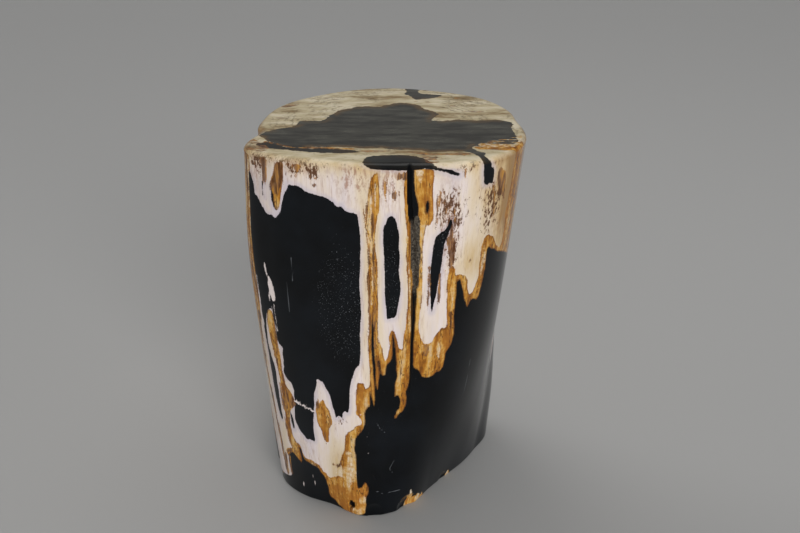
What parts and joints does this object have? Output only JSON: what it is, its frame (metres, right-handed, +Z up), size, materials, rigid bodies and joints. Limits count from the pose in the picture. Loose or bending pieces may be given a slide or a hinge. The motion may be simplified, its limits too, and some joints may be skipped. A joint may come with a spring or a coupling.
{
  "type": "petrified wood stool",
  "caption": "Solid petrified wood log stool or side table, sawn flat at seat and foot, with a rounded rim, tapering to a wedge-shaped foot.",
  "frame": {"origin": "centre of the bounding box at the foot, on the surface that the stool stands on", "axes": "+Z up, -Y towards the front of the stool, +X to the right as seen from the front"},
  "size_m": [0.3065, 0.2999, 0.44],
  "materials": {
    "petrified_wood": "polished, black and cream with ochre seams along the grain"
  },
  "bodies": {
    "root": {"petrified_log": "petrified_wood"}
  },
  "joints": []
}
